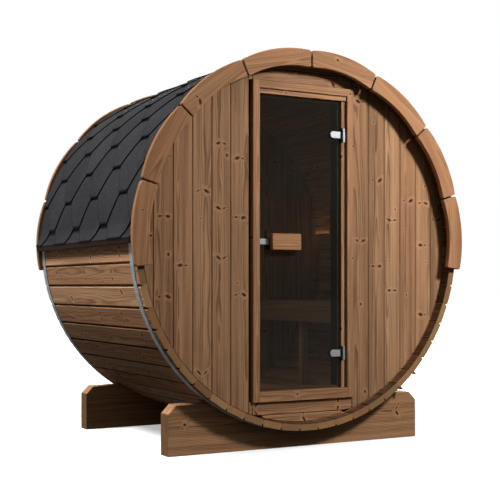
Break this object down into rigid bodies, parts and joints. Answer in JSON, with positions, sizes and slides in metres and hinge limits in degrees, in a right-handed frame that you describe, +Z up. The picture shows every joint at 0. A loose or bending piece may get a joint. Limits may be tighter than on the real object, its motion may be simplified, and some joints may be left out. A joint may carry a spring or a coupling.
{
  "type": "barrel sauna",
  "caption": "Lying wooden barrel cabin on two cradles, with a shingled roof over its upper half, steel hoops, curved end boards and a tinted glass door that swings out.",
  "frame": {"origin": "on the ground under the middle of the barrel, at the bottom centre of the bounding box", "axes": "+X to the right seen from the door, +Y along the barrel from the door to the back wall, +Z up"},
  "size_m": [2.076, 1.5, 2.1136],
  "materials": {
    "stave_wood": "planed heat-treated pine, oiled",
    "wall_wood": "planed heat-treated pine, oiled",
    "frame_wood": "planed heat-treated pine, oiled",
    "trim_wood": "planed heat-treated pine, oiled",
    "cradle_wood": "planed heat-treated pine, oiled",
    "eave_wood": "dark stained batten",
    "floor_wood": "planed boards",
    "bench_wood": "planed boards, untreated",
    "handle_wood": "turned and sanded block",
    "shingle": "mineral-coated bitumen shingle, matt",
    "hoop_steel": "galvanised steel band",
    "bolt_steel": "galvanised bolt and nuts",
    "satin_metal": "satin chrome",
    "tinted_glass": "bronze-tinted toughened glass"
  },
  "bodies": {
    "cabin": {"staves_bottom": "stave_wood", "staves_low_right": "stave_wood", "staves_right": "stave_wood", "staves_high_right": "stave_wood", "staves_top": "stave_wood", "staves_high_left": "stave_wood", "staves_left": "stave_wood", "staves_low_left": "stave_wood", "front_wall_left": "wall_wood", "front_wall_right": "wall_wood", "front_wall_header": "wall_wood", "front_wall_sill": "wall_wood", "back_wall": "wall_wood", "door_frame_left": "frame_wood", "door_frame_right": "frame_wood", "door_frame_head": "frame_wood", "door_frame_sill": "frame_wood", "hinge_batten": "frame_wood", "hinge_plates": "satin_metal", "hoop_front": "hoop_steel", "hoop_rear": "hoop_steel", "tightener_front": "bolt_steel", "tightener_rear": "bolt_steel", "cradle_front": "cradle_wood", "cradle_rear": "cradle_wood", "roof_cover_left": "shingle", "roof_cover_right": "shingle", "eave_batten_left": "eave_wood", "eave_batten_right": "eave_wood", "front_trim_boards": "trim_wood", "rear_trim_boards": "trim_wood", "floor": "floor_wood", "bench_seat": "bench_wood", "bench_front_board": "bench_wood", "bench_leg": "bench_wood", "backrest_boards": "bench_wood", "backrest_posts": "bench_wood", "lamp_screen": "bench_wood"},
    "door": {"door_glass": "tinted_glass", "hinge_clamps": "satin_metal", "door_catch": "satin_metal", "door_handle": "handle_wood", "handle_bolts": "satin_metal"}
  },
  "joints": [
    {"name": "door_hinge", "type": "hinge", "parent": "cabin", "child": "door", "pos_m": [0.247, -0.667, 0], "axis": [0, 0, 1], "range_deg": [0, 105]}
  ]
}
